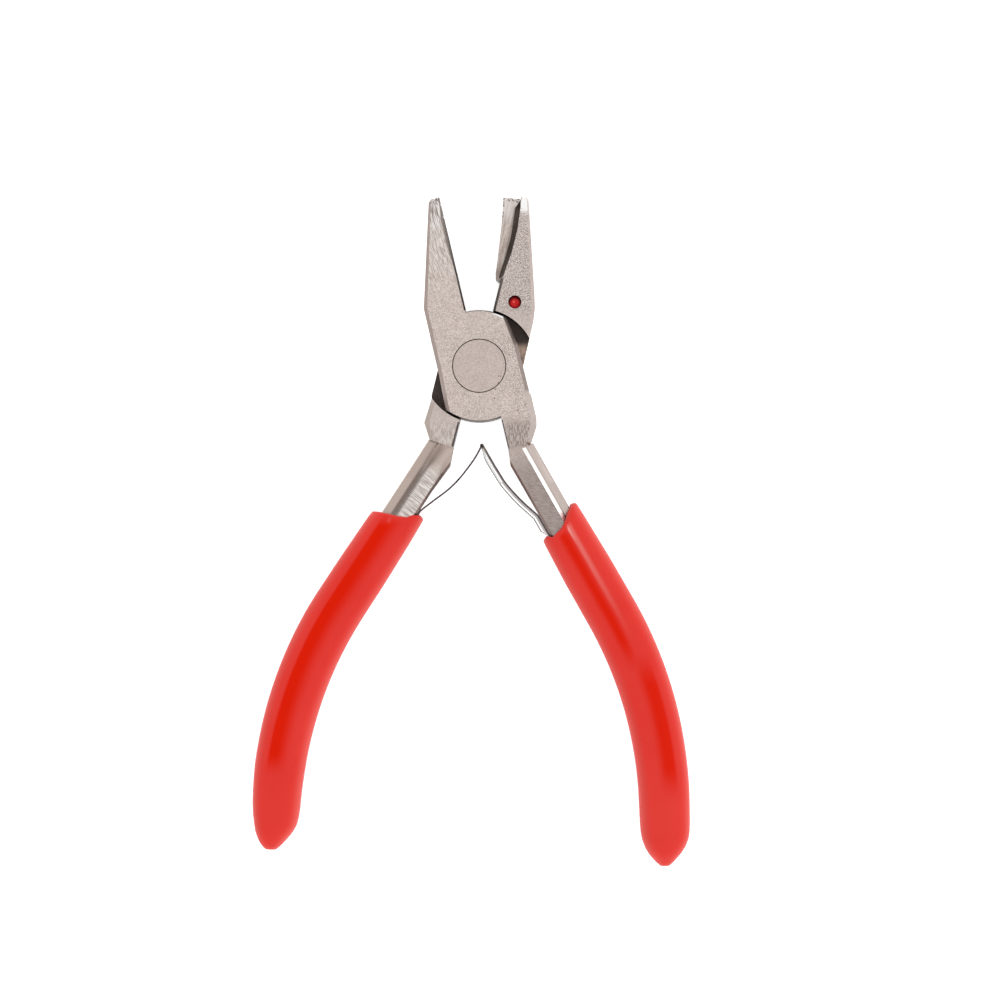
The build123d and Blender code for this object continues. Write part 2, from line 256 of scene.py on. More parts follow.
# ---- steel ------------------------------------------------------------------
STEEL_LIGHT = (0.775, 0.680, 0.630)
STEEL_DEEP = (0.470, 0.395, 0.352)
WALL_SHADE = (0.035, 0.026, 0.022)
CHAMFER_SHADE = (0.17, 0.135, 0.12)
EDGE_SHADE = (0.27, 0.215, 0.19)
DOT_DARK = (0.25, 0.20, 0.175)
DOT_LIGHT = (0.94, 0.88, 0.85)
STAIN = (0.42, 0.31, 0.23)
HIGHLIGHT_WHITE = (0.97, 0.95, 0.93)
HIGHLIGHT_BRIGHT = (1.0, 0.99, 0.98)
PIT_BROWN = (0.20, 0.10, 0.075)


class Steel(Graph):
    """Satin nickel-toned steel: grain, speckle, stains and painted shade on the
    side walls.
    """

    def __init__(self, name, light=STEEL_LIGHT, deep=STEEL_DEEP):
        super().__init__(name)
        self.bsdf.inputs["Metallic"].default_value = 1.0
        fine = self.noise(self.mapped(), 5600, 1.0, 0.5)
        weave = self.times(self.noise(self.mapped((1, 0.3, 1)), 5200, 1.0),
                           self.noise(self.mapped((0.3, 1, 1)), 5200, 1.0))
        self.tone = self.math(
            "ADD", self.times(self.band(fine, 0.40, 0.60), 0.6),
            self.times(self.band(weave, 0.18, 0.32), 0.4))
        self.colour = self.mix(self.tone, deep, light)
        cloud = self.noise(self.mapped(), 260, 5.0, 0.7)
        self.colour = self.mix(1.0, self.colour,
                               self.band(cloud, 0.3, 0.7, 0.95, 1.04),
                               "MULTIPLY")
        stain = self.noise(self.mapped(move=(0.013, 0.021, 0)), 95, 5.0, 0.62)
        self.paint(self.band(stain, 0.58, 0.72, 0.0, 0.15), STAIN)
        self.lift = self.tone

    def paint(self, amount, colour):
        self.colour = self.mix(amount, self.colour, colour)

    def speckle(self, where, dark, bright):
        """Hammered-looking dots inside a 0-1 region."""
        dots = self.noise(self.mapped(move=(0.2, 0, 0)), 5200, 1.5, 0.6)
        self.paint(self.times(self.band(dots, 0.50, 0.38), where, dark),
                   DOT_DARK)
        self.paint(self.times(self.band(dots, 0.55, 0.66), where, bright),
                   DOT_LIGHT)
        self.lift = self.math("ADD", self.lift, self.times(dots, where, 2.0))

    def spots(self, places, size, colour, strength):
        """Small corrosion pits at plan positions in mm."""
        x, y = self.plan()
        for px, py in places:
            dx = self.math("SUBTRACT", x, px)
            dy = self.math("SUBTRACT", y, py)
            d = self.distance(dx, dy)
            spot = self.times(self.band(d, size, size * 0.4), strength)
            self.paint(spot, colour)
            self.lift = self.math("SUBTRACT", self.lift, spot)

    def lines(self, where, x, y, pitch, stretch, strength, dark, light):
        """Grinding lines along y inside a 0-1 region, pitch of them to a mm."""
        n = self.noise(self.grid(x, y, pitch, pitch * stretch), 1.0, 2.0, 0.6)
        amount = self.times(where, strength)
        self.paint(amount, self.mix(self.band(n, 0.42, 0.58), dark, light))
        self.lift = self.math("ADD", self.lift, self.times(n, amount, 3.0))

    def walls(self):
        """Painted shade on upright faces, darkest on those turned to the middle.
        """
        nx, _, nz = self.split(self.normal)
        px = self.split(self.coord)[0]
        lean = self.math("ABSOLUTE", nz)
        upright = self.band(lean, 0.69, 0.60)
        outward = self.times(nx, self.math("SIGN", px))
        facing = self.band(outward, 0.2, 0.7, 1.0, 0.3)
        dark = self.mix(self.band(lean, 0.15, 0.40), WALL_SHADE, CHAMFER_SHADE)
        self.paint(self.times(upright, facing, 0.95), dark)

    def edge_line(self, strength):
        """Thin painted shade line where a flat turns over into its bevel."""
        nz = self.split(self.normal)[2]
        self.paint(self.times(self.window(nz, 0.90, 0.985, 0.01), strength),
                   EDGE_SHADE)

    def lap_face(self, z0, z1):
        """0-1 on the sliding face of a half-lap plate, between two heights."""
        nz = self.split(self.normal)[2]
        return self.times(self.band(self.math("ABSOLUTE", nz), 0.6, 0.8),
                          self.window(self.height(), z0, z1, 0.03))

    def finish(self, rough=0.36, bump=0.5):
        self.put(self.colour, self.bsdf.inputs["Base Color"])
        self.put(self.band(self.tone, 0.0, 1.0, rough + 0.06, rough - 0.05),
                 self.bsdf.inputs["Roughness"])
        self.put(self.bump(self.lift, 0.00003, bump),
                 self.bsdf.inputs["Normal"])
        return self.mat


def handle_plan(g, h):
    """Offset outward and length along the straight part of a handle, mm."""
    return g.along(h.out(h.a0), h.start), g.along(h.along(h.a0), h.start)


def front_look():
    g = Steel("front_steel")
    x, y = g.plan()
    cx, cy = g.plan(FRONT_TURN)
    top = g.band(g.height(), 5.0, 6.0)
    # rougher skin towards the right of the plate and down its root
    g.speckle(g.times(g.band(g.along((0.94, 0.34)), 2.6, 6.2),
                      g.band(y, 9.0, 5.0), g.band(y, -17.5, -15.5)), 0.6, 0.6)
    # wavy forging lines at the root
    root = g.times(g.band(x, 4.4, 6.2), g.band(cy, -17.6, -17.2))
    g.paint(g.times(root, g.band(y, -9.5, -12.5), 0.68), (0.35, 0.272, 0.248))
    g.lines(g.times(root, g.band(y, -10.0, -12.5)), x, y, 3.6, 0.26, 0.45,
            (0.17, 0.13, 0.115), (0.66, 0.60, 0.56))
    # worn tip of the jaw: lines along it, a painted highlight and dark chips at
    # the end
    tx, ty = g.plan(12.5)
    tip = g.times(g.band(cy, 24.0, 31.0), top)
    g.lines(tip, tx, ty, 5.6, 0.07, 0.80, (0.24, 0.19, 0.17), (1.0, 0.97, 0.95))
    g.paint(g.times(g.band(cy, 32.2, 33.6), top, 0.35), HIGHLIGHT_WHITE)
    chips = g.noise(g.mapped(move=(0.4, 0, 0)), 3200, 2.0)
    g.paint(g.times(g.band(chips, 0.50, 0.43), g.band(cy, 32.3, 34.0), 0.9),
            (0.11, 0.085, 0.075))
    # painted shade line along the bevels' edges
    g.edge_line(0.7)
    # brushed strokes along the jaw, and painted shade on its broad inner chamfer
    bx, by = g.plan(20.0)
    g.lines(g.times(g.band(cy, 13.0, 23.0), g.band(cy, 30.0, 26.0), top), bx, by,
            5.4, 0.09, 0.50, (0.36, 0.30, 0.27), (1.0, 0.93, 0.88))
    # painted shade along the inner chamfer, broadest part way up the jaw
    reach = g.times(g.band(cy, 19.5, 24.0), g.band(cy, 33.0, 29.5), 0.36)
    inner = g.math("ADD", cx, g.math("ADD", reach, 0.42))
    g.paint(g.times(g.band(inner, -0.04, 0.04), g.band(cy, 17.0, 20.0), top,
                    0.85), (0.21, 0.17, 0.15))
    # plate rim: a painted highlight on the upper right, a painted shade line
    # between the jaws
    ring = g.math("SUBTRACT", g.distance(x, y), PLATE_R)
    g.paint(g.times(g.band(ring, -0.60, -0.44), g.window(x, 2.9, 6.6, 0.6),
                    g.band(y, 8.0, 8.8)), HIGHLIGHT_BRIGHT)
    g.paint(g.times(g.band(ring, -0.22, -0.14), g.band(ring, 0.2, 0.1),
                    g.window(x, -2.75, 2.9, 0.3), g.band(y, 4.0, 6.0), 0.9),
            (0.05, 0.04, 0.035))
    # outer bevels, painted shade: warm grey on the left, darker on the right
    # flank, a lighter grey down the root
    u, s = handle_plan(g, right_h)
    slope = g.window(g.split(g.normal)[2], 0.66, 0.88, 0.02)
    left = g.times(slope, g.band(cx, -1.2, -1.6), g.band(s, 4.5, 3.0))
    g.paint(g.times(left, 0.9), (0.37, 0.30, 0.272))
    flank = g.times(slope, g.band(cx, 6.0, 6.6))
    g.paint(g.times(flank, g.band(cy, -8.2, -6.6), 0.92),
            (0.245, 0.195, 0.18))
    g.paint(g.times(flank, g.band(cy, -6.6, -8.2), g.band(s, 4.5, 3.0), 0.85),
            (0.50, 0.43, 0.40))
    # shaft: arcs on the ground flat, a painted highlight on the step, smooth
    # outer strip; painted shade on the inner chamfer, in the crease under the
    # step and along the outer edge
    shaft = g.band(cy, FRONT_SEAM, FRONT_SEAM - 0.15)
    flat = g.times(g.band(u, 0.62, 0.56), shaft)
    ax, ay = g.plan(-6.0)
    g.paint(g.times(flat, g.band(s, -2.0, 4.0, 0.40, 0.85)),
            (0.325, 0.262, 0.242))
    g.lines(g.times(flat, g.band(s, 0.5, 3.5)), ay, ax, 4.6, 0.13, 0.26,
            (0.20, 0.16, 0.145), (0.60, 0.53, 0.50))
    g.paint(g.times(g.band(u, -2.55, -2.7), g.band(s, 2.6, 3.4), 0.9),
            (0.028, 0.020, 0.017))
    g.paint(g.times(g.window(u, 0.47, 0.60, 0.05), shaft, g.band(s, 0.5, 2.0),
                    0.55), (0.12, 0.095, 0.085))
    # painted highlight on the step
    g.paint(g.times(g.window(u, 0.66, 1.34, 0.06),
                    g.band(cy, FRONT_SEAM - 0.45, FRONT_SEAM - 0.75)), HIGHLIGHT_WHITE)
    g.paint(g.times(g.window(u, 1.40, 1.60, 0.07), shaft, 0.8),
            (0.34, 0.285, 0.265))
    g.paint(g.times(g.band(u, 1.52, 1.64), shaft, 0.85), (0.58, 0.495, 0.455))
    g.paint(g.times(g.band(u, 2.7, 2.95), shaft, 0.5), (0.30, 0.26, 0.24))
    # rust in the corner of the root, pits over the plate and the rivet's rim
    g.spots([(9.95, -15.55), (9.65, -15.35)], 0.38, (0.17, 0.10, 0.06), 0.8)
    g.spots([(3.84, -2.08), (4.28, -2.08), (3.2, -4.7), (3.06, -6.5),
             (7.66, -8.9), (4.4, 2.7)], 0.21, PIT_BROWN, 0.85)
    # painted shade on the sliding face of the half-lap plate
    g.paint(g.times(g.lap_face(LAP_Z, LAP_Z + 0.15), 0.9),
            (0.075, 0.055, 0.05))
    # painted shade on the upright faces
    g.walls()
    return g.finish()


def rear_look():
    g = Steel("rear_steel", (0.67, 0.58, 0.54), (0.51, 0.435, 0.40))
    x, y = g.plan()
    cx, cy = g.plan(REAR_TURN)
    z = g.height()
    g.speckle(g.band(cy, 10.0, 13.5), 0.9, 0.75)
    # left root: fine wavy lines above the slanting seam
    seam = g.math("ADD", cy, g.math("ADD", g.times(cx, 0.093), 17.3))
    g.lines(g.times(g.band(y, -10.5, -13.0), g.band(seam, -0.1, 0.1)),
            x, y, 3.2, 0.2, 0.36, (0.26, 0.21, 0.185), (0.78, 0.71, 0.67))
    g.paint(g.times(g.window(seam, -0.22, 0.10, 0.08), g.band(cx, -0.5, -1.0),
                    0.6), (0.17, 0.12, 0.095))
    # jaw: a painted highlight on the tip, with a ragged lower end
    tip_highlight_reach = g.math("ADD", cy, g.times(g.noise(g.mapped(), 2600, 2.0), 2.2))
    g.paint(g.times(g.band(tip_highlight_reach, 32.0, 33.9), g.band(z, 5.0, 6.0),
                    g.band(cx, 0.2, 0.4), 0.98), HIGHLIGHT_BRIGHT)
    # painted shade line along the bevels' edges
    g.edge_line(0.9)
    # painted shade: a dark inner edge under the groove, and on the outer bevels
    # of the jaw and root
    g.paint(g.times(g.band(cx, 0.64, 0.54), g.band(z, 5.0, 6.0),
                    g.window(cy, 9.0, 18.0, 0.2), 0.85), (0.09, 0.068, 0.06))
    slope = g.window(g.split(g.normal)[2], 0.66, 0.88, 0.02)
    g.paint(g.times(slope, g.band(cy, 8.0, 10.0), 0.75), (0.49, 0.42, 0.39))
    g.paint(g.times(slope, g.band(cy, -8.0, -10.0), g.band(seam, -0.1, 0.1),
                    0.7), (0.42, 0.35, 0.31))
    # ledge: drawn lines, brown at its root, brighter and ragged at its end
    ledge = g.window(z, LEDGE_Z - 0.13, LEDGE_Z + 0.09, 0.03)
    g.paint(g.times(ledge, 0.38), (0.56, 0.44, 0.38))
    g.lines(ledge, cx, cy, 3.0, 0.06, 0.42, (0.36, 0.28, 0.24),
            (0.95, 0.87, 0.82))
    g.paint(g.times(ledge, g.band(cy, 23.0, 18.5), 0.62), (0.27, 0.21, 0.18))
    g.paint(g.times(ledge, g.band(cy, 28.0, 32.0), 0.65), (0.88, 0.81, 0.77))
    chips = g.noise(g.mapped(move=(0.4, 0, 0)), 3600, 2.0)
    rim = g.math("ADD", cx, g.math("SUBTRACT", g.times(cy, 0.149), 1.65))
    edge = g.math("MAXIMUM", g.times(g.band(rim, 0.50, 0.25),
                                     g.band(cy, 28.5, 31.0)),
                  g.band(cy, 33.5, 34.0))
    g.paint(g.times(ledge, g.band(chips, 0.50, 0.44), edge, 0.9),
            (0.10, 0.08, 0.07))
    # the ledge falls into shade towards the groove
    brink = g.math("SUBTRACT", cx, g.math(
        "ADD", g.band(cy, 18.0, 23.0, -0.5, -0.12),
        g.band(cy, 27.0, 33.0, 0.0, -0.5)))
    g.paint(g.times(ledge, g.band(brink, -0.45, -0.05),
                    g.window(cy, 19.0, 33.0, 0.5), 0.6), (0.20, 0.15, 0.12))
    # groove beside the ledge: painted shade all round, darker towards its right
    # side
    groove = g.times(g.window(cx, -0.72, 1.02, 0.04), g.band(cy, 18.0, 18.4),
                     g.band(z, 1.0, 1.3),
                     g.band(z, LEDGE_Z - 0.03, LEDGE_Z - 0.09))
    far = g.math("ADD", cx, g.band(cy, 25.0, 21.0, 0.0, -0.35))
    g.paint(g.times(groove, 0.92),
            g.mix(g.band(far, -0.25, 0.35), (0.24, 0.185, 0.155),
                  (0.125, 0.092, 0.078)))
    # sliding face of the plate: painted shade over it; lower on the right the
    # shade lifts to brown rub marks
    lap = g.lap_face(LAP_Z - 0.15, LAP_Z + 0.02)
    g.paint(g.times(lap, 0.96), (0.040, 0.030, 0.026))
    rub = g.noise(g.grid(x, y, 1.6, 0.35), 1.0, 3.0, 0.6)
    low = g.times(lap, g.band(x, 4.0, 6.0), g.band(y, 5.2, 3.4))
    g.paint(g.times(low, g.band(rub, 0.30, 0.52), 0.95), (0.46, 0.335, 0.265))
    # shaft: smooth outer strip, ground flat with cross lines
    u, s = handle_plan(g, left_h)
    shaft = g.band(cy, REAR_SEAM, REAR_SEAM - 0.15)
    smooth = g.math("MAXIMUM", g.band(u, 1.0, 1.5), g.band(s, 3.5, 0.0))
    g.paint(g.times(smooth, shaft, 0.75), (0.55, 0.44, 0.385))
    bright = g.times(g.band(u, 1.0, -0.2), g.band(s, 1.0, 6.0), shaft)
    g.paint(g.times(bright, 0.45), (0.84, 0.75, 0.70))
    skew = g.math("ADD", s, g.times(u, 0.10))
    g.lines(g.times(bright, g.band(s, 1.0, 7.0, 0.35, 1.0)), skew, u,
            6.2, 0.055, 0.52, (0.25, 0.20, 0.175), (1.0, 0.97, 0.94))
    # painted shade: brown under the seam, dark on the inner edge and in the
    # hollow along the shaft
    g.paint(g.times(g.window(s, -1.8, 2.6, 1.2), g.window(u, -0.6, 1.4, 0.8),
                    shaft, 0.55), (0.22, 0.165, 0.14))
    g.paint(g.times(g.band(u, -2.55, -2.7), g.band(s, 2.4, 3.2), 0.75),
            (0.060, 0.045, 0.038))
    hollow = g.times(g.band(u, -0.3, 0.8), g.band(u, 1.7, 1.1), shaft,
                     g.band(s, -1.5, 6.5, 0.2, 1.0))
    g.paint(g.times(hollow, 0.85), (0.125, 0.092, 0.078))
    # painted shade along the outer edge
    g.paint(g.times(g.band(u, 2.6, 2.95), shaft, 0.45), (0.33, 0.29, 0.26))
    # painted shade on the upright faces
    g.walls()
    return g.finish(0.37)


def rivet_look():
    g = Steel("rivet_steel", (0.67, 0.58, 0.53), (0.51, 0.425, 0.38))
    nz = g.split(g.normal)[2]
    rim = g.band(g.math("ABSOLUTE", nz), 0.92, 0.78)
    g.paint(g.times(rim, 0.7), (0.60, 0.50, 0.45))
    g.spots([(3.84, -2.08), (4.28, -2.08), (3.8, -3.4)], 0.21, PIT_BROWN, 0.85)
    return g.finish(0.37, 0.4)


def spring_look():
    """Blued strip: dark upper edge, a painted highlight along the middle, painted
    shade along the lower edge.
    """
    g = Graph("spring_strip")
    g.bsdf.inputs["Metallic"].default_value = 1.0
    g.bsdf.inputs["Roughness"].default_value = 0.28
    n = g.noise(g.mapped((1, 1, 6)), 900, 3.0)
    nz = g.split(g.normal)[2]
    z = g.height()
    x, y = g.plan()
    dark = g.ramp(n, [(0.35, (0.10, 0.088, 0.086)), (0.65, (0.24, 0.215, 0.21))])
    start = g.band(y, -23.0, -17.5, 4.9, 3.4)
    split = g.math("SUBTRACT", z, start)
    # painted highlight below the split line, dark blued steel above it
    colour = g.mix(g.band(split, -0.2, 0.2), (1.0, 0.99, 0.98), dark)
    # painted shade along the lower edge
    colour = g.mix(g.band(z, 3.90, 3.75), colour, (0.020, 0.017, 0.017))
    edge = g.band(g.math("ABSOLUTE", nz), 0.75, 0.9)
    rim = g.mix(g.band(z, 4.6, 4.2), (0.115, 0.092, 0.092), (0.97, 0.96, 0.95))
    colour = g.mix(edge, colour, rim)
    rust = g.times(g.band(x, 0.75, 0.95), g.band(y, -17.2, -16.7),
                   g.band(x, 2.6, 2.2))
    colour = g.mix(g.times(rust, 0.8), colour, (0.23, 0.165, 0.12))
    g.put(colour, g.bsdf.inputs["Base Color"])
    g.put(g.bump(n, 0.00001, 0.4), g.bsdf.inputs["Normal"])
    return g.mat


def enamel_look():
    """Red enamel drop: painted shade round its rim, a painted highlight in the
    middle.
    """
    g = Graph("red_enamel")
    cx, cy = g.plan(REAR_TURN)
    dx = g.math("SUBTRACT", cx, DOT_AT[0])
    dy = g.math("SUBTRACT", cy, DOT_AT[1])
    d = g.distance(dx, dy)
    n = g.noise(g.mapped(), 1500, 3.0)
    core = g.ramp(n, [(0.35, (0.50, 0.006, 0.008)), (0.7, (0.70, 0.022, 0.018))])
    # painted shade round the rim of the drop, heaviest at the top left
    away = g.math("ADD", d, g.times(g.math("SUBTRACT", dy, dx), 0.22))
    colour = g.mix(g.band(away, 0.65, 1.25), core, (0.13, 0.004, 0.006))
    # painted highlight just up and left of the middle
    glint = g.distance(g.math("ADD", dx, 0.12), g.math("SUBTRACT", dy, 0.15))
    colour = g.mix(g.times(g.band(glint, 0.30, 0.05), 0.7), colour,
                   (0.90, 0.22, 0.16))
    g.put(colour, g.bsdf.inputs["Base Color"])
    g.bsdf.inputs["Roughness"].default_value = 0.2
    g.bsdf.inputs["Specular IOR Level"].default_value = 0.15
    g.put(g.bump(n, 0.00006, 0.5), g.bsdf.inputs["Normal"])
    return g.mat


def vinyl_look():
    """Dip-moulded vinyl with painted sheen and shade by surface direction; each
    grip mesh carries its own painted shade and painted highlight tracks.
    """
    g = Graph("red_vinyl")
    soft = g.noise(g.mapped(), 60, 3.0, 0.5)
    fine = g.noise(g.mapped(), 2200, 2.0, 0.5)
    colour = g.ramp(soft, [(0.30, (0.733, 0.038, 0.029)),
                           (0.72, (0.762, 0.050, 0.039))])
    nx, _, nz = g.split(g.normal)
    side = g.math("ABSOLUTE", nz)
    # painted sheen: paler red on the sloping flanks
    colour = g.mix(g.times(g.band(side, 0.90, 0.45), 0.8), colour,
                   (0.748, 0.098, 0.083))
    # painted shade on the left-facing sides
    colour = g.mix(g.band(nx, -0.40, -0.85, 0.0, 0.35), colour,
                   (0.50, 0.050, 0.042))
    # painted shade round the rim, where the sleeve turns down
    colour = g.mix(g.times(g.band(side, 0.40, 0.12), 0.60), colour,
                   (0.50, 0.060, 0.062))
    # painted shade: deeper red bands along the top
    colour = g.mix(g.attribute("shade_band"), colour, (0.715, 0.011, 0.000))
    # painted highlight: pale tracks near the mouths
    colour = g.mix(g.attribute("highlight_band"), colour, (0.96, 0.52, 0.48))
    specks = g.voronoi(g.mapped(), 260)
    rare = g.noise(g.mapped(move=(0.5, 0.1, 0)), 330, 1.0)
    dust = g.times(g.band(specks, 0.075, 0.035), g.band(rare, 0.60, 0.64))
    colour = g.mix(g.times(dust, 0.5), colour, (0.85, 0.40, 0.36))
    g.put(colour, g.bsdf.inputs["Base Color"])
    g.put(g.band(soft, 0.3, 0.7, 0.24, 0.33), g.bsdf.inputs["Roughness"])
    g.bsdf.inputs["Specular IOR Level"].default_value = 0.03
    height = g.math("ADD", g.times(fine, 0.12), soft)
    height = g.math("ADD", height, g.times(dust, 0.3))
    g.put(g.bump(height, 0.00022, 0.35), g.bsdf.inputs["Normal"])
    return g.mat


rivet_steel = rivet_look()
spring_mat = spring_look()
vinyl_mat = vinyl_look()

BEVEL_FROM = 28         # degrees; gentler corners stay as they are


def dress(name, material, edge=0.12):
    """Material and softly broken edges on a CAD node."""
    o = nodes[name]
    o.data.materials.clear()
    o.data.materials.append(material)
    weld = o.modifiers.new("weld", "WELD")
    weld.merge_threshold = 1e-6
    if edge:
        bev = o.modifiers.new("edge", "BEVEL")
        bev.width = edge * MM
        bev.segments = 2
        bev.limit_method = "ANGLE"
        bev.angle_limit = math.radians(BEVEL_FROM)
        bev.harden_normals = True
        bev.use_clamp_overlap = True


dress("front_lever", front_look())
dress("rear_lever", rear_look())
dress("pivot_rivet", rivet_steel, 0.0)
dress("marking_dot", enamel_look(), 0.0)
dress("left_spring_rivet", rivet_steel, 0.1)
dress("right_spring_rivet", rivet_steel, 0.1)


# ---- dipped grips -------------------------------------------------------------
GRIP_HALF_T = 4.46      # half the thickness of a grip, before its unevenness
GRIP_LIMIT = 4.55       # and the most it may reach
GRIP_POWER = 2.15       # 2 would be an ellipse, more is squarer
GRIP_RING = 96          # points round a sleeve
GRIP_ROWS = 110         # rings along its skin
MOUTH_DEPTHS = (7.0, 4.0, 1.8, 0.9)
LIP_R = 0.34            # rolled rim of the mouth
LIP_STEPS = 8
HOLE_GAP = 0.17         # between the lip and the steel


def rounded(phi):
    """Point at angle phi of the unit outline of a grip's section."""
    c, s = math.cos(phi), math.sin(phi)
    return (math.copysign(abs(c) ** (2 / GRIP_POWER), c),
            math.copysign(abs(s) ** (2 / GRIP_POWER), s))


def lerp_table(table, s):
    """Value at s, in straight steps between (s, value) stations."""
    if s <= table[0][0]:
        return table[0][1]
    for (s0, v0), (s1, v1) in zip(table[:-1], table[1:]):
        if s <= s1:
            t = (s - s0) / (s1 - s0)
            return v0 + (v1 - v0) * t
    return table[-1][1]


def ease(value, a, b):
    """Smooth step from 0 at a to 1 at b."""
    t = max(0.0, min(1.0, (value - a) / (b - a)))
    return t * t * (3 - 2 * t)


# upper half of the section inside a grip, shaft and strip: (across, up)
CORE = [(-3.48, 2.0), (-3.0, 2.9), (-2.55, 3.35), (0.4, 3.4), (2.85, 2.1),
        (3.1, 1.7)]


def core_radius(phi, grow):
    """Distance from the middle to the steel and strip, in direction phi."""
    c, s = math.cos(phi), abs(math.sin(phi))
    pts = [(CORE[0][0], 0.0)] + CORE + [(CORE[-1][0], 0.0)]
    best = 0.0
    for (x0, y0), (x1, y1) in zip(pts[:-1], pts[1:]):
        ex, ey = x1 - x0, y1 - y0
        den = c * ey - s * ex
        if abs(den) < 1e-9:
            continue
        r = (x0 * ey - y0 * ex) / den
        k = (x0 * s - y0 * c) / den
        if r > 0 and -1e-6 <= k <= 1 + 1e-6:
            best = max(best, r)
    return best + grow


def mesh_object(name, verts, faces, material, smooth=True):
    """Linked object from points and faces."""
    me = bpy.data.meshes.new(name)
    me.from_pydata(verts, [], faces)
    me.validate()
    me.update()
    for p in me.polygons:
        p.use_smooth = smooth
    me.materials.append(material)
    o = bpy.data.objects.new(name, me)
    bpy.context.scene.collection.objects.link(o)
    return o


def turn_outward(o):
    bm = bmesh.new()
    bm.from_mesh(o.data)
    bmesh.ops.recalc_face_normals(bm, faces=bm.faces)
    bm.to_mesh(o.data)
    bm.free()


def bridge(faces, a, b, ring):
    """Quads between two rings of points, which start at indices a and b."""
    for i in range(ring):
        j = (i + 1) % ring
        faces.append((a + i, a + j, b + j, b + i))


def mark(tracks, pos, u):
    """Strongest of some painted tracks at a point of the sleeve.

    Each track: y where it starts and ends, fades at both ends, and across
    the handle the offsets between which it is there, with a fade each side.
    """
    y = pos.y / MM
    best = 0.0
    for y0, y1, fade0, fade1, low, full, hold, high, share in tracks:
        run = ease(-y, -y0, -y0 + fade0) * ease(y, y1, y1 + fade1)
        across = ease(u, low, full) * (1 - ease(u, hold, high))
        best = max(best, run * across * share)
    return best


def grip(name, h, widths, mouth, seed, skew, shade_tracks, highlight_tracks):
    """Dipped sleeve with a rolled lip, a slanting mouth and a blunt tip.

    widths: (s, half width); mouth: (u, s) of the rim across the handle;
    skew: how far the very tip stands off the middle, outward;
    the last two: tracks of painted shade (deeper colour) and of painted highlight
    (paler colour) on the upper side.
    """
    ring = GRIP_RING
    verts, faces = [], []

    def rim_s(phi):
        return lerp_table(mouth, mouth[-1][0] * math.cos(phi))

    def outer(s, phi, swell=1.0):
        w = lerp_table(widths, s) * swell
        across, up = rounded(phi)
        u = w * across
        v = min(GRIP_HALF_T, w * 0.95) * up
        pos = h.point(s, u, v)
        n = noise.noise(pos * 70 + Vector((seed, 0, 0)))
        f = 1.0 + 0.006 * n
        aside = skew * ease(s, h.length - 6.0, h.length)
        v = max(-GRIP_LIMIT, min(GRIP_LIMIT, v * f))
        return h.point(s, u * f + aside, v)

    rows = []
    # inner wall of the mouth, from deep inside out to the lip
    for depth in MOUTH_DEPTHS:
        row = []
        for i in range(ring):
            phi = 2 * math.pi * i / ring
            r = core_radius(phi, HOLE_GAP if depth < 3 else 0.07)
            row.append(h.point(rim_s(phi) + depth, r * math.cos(phi),
                               r * math.sin(phi)))
        rows.append(row)
    # rolled lip: half a turn from the hole round to the outer skin
    for k in range(LIP_STEPS + 1):
        t = math.pi * k / LIP_STEPS
        row = []
        for i in range(ring):
            phi = 2 * math.pi * i / ring
            s0 = rim_s(phi)
            r_in = core_radius(phi, HOLE_GAP)
            ring_in = h.point(s0, r_in * math.cos(phi), r_in * math.sin(phi))
            ring_out = outer(s0 + 0.3, phi, 0.99)
            d = h.along(h.angle(s0))
            mid = (ring_in + ring_out) / 2
            half = (ring_out - ring_in) / 2
            thick = min(LIP_R, half.length / MM * 0.8)
            back = LIP_R - thick * math.sin(t)
            row.append(mid - half * math.cos(t) + Vector((*d, 0)) * back * MM)
        rows.append(row)
    # outer skin
    stop = h.length - 0.10
    tones = [(0.0, 0.0)] * (len(rows) * ring)
    for k in range(1, GRIP_ROWS + 1):
        t = k / GRIP_ROWS
        row = []
        for i in range(ring):
            phi = 2 * math.pi * i / ring
            s0 = rim_s(phi) + 0.6
            s = s0 + (stop - s0) * (t ** 0.92)
            p = outer(s, phi)
            row.append(p)
            up = ease(math.sin(phi), 0.0, 0.2)
            u = lerp_table(widths, s) * rounded(phi)[0]
            tones.append((mark(shade_tracks, p, u) * up, mark(highlight_tracks, p, u) * up))
        rows.append(row)
    for row in rows:
        verts.extend(row)
    for k in range(len(rows) - 1):
        bridge(faces, k * ring, (k + 1) * ring, ring)
    # blunt tip: rings closing onto a slightly domed flat
    base = (len(rows) - 1) * ring
    last = rows[-1]
    centre = sum(last, Vector()) / ring
    away = Vector((*h.along(h.angle(stop)), 0))
    for share, push in ((0.75, 0.04), (0.4, 0.06)):
        start = len(verts)
        for p in last:
            q = centre + (p - centre) * share
            verts.append(q + away * push * MM)
        bridge(faces, base, start, ring)
        base = start
    verts.append(centre + away * 0.07 * MM)
    tip = len(verts) - 1
    for i in range(ring):
        faces.append((base + i, base + (i + 1) % ring, tip))
    # closed inside, deep in the mouth
    verts.append(sum(rows[0], Vector()) / ring)
    for i in range(ring):
        faces.append(((i + 1) % ring, i, len(verts) - 1))
    o = mesh_object(name, verts, faces, vinyl_mat)
    tones += [(0.0, 0.0)] * (len(verts) - len(tones))
    for k, label in enumerate(("shade_band", "highlight_band")):
        layer = o.data.attributes.new(label, "FLOAT", "POINT")
        layer.data.foreach_set("value", [pair[k] for pair in tones])
    turn_outward(o)
    return o


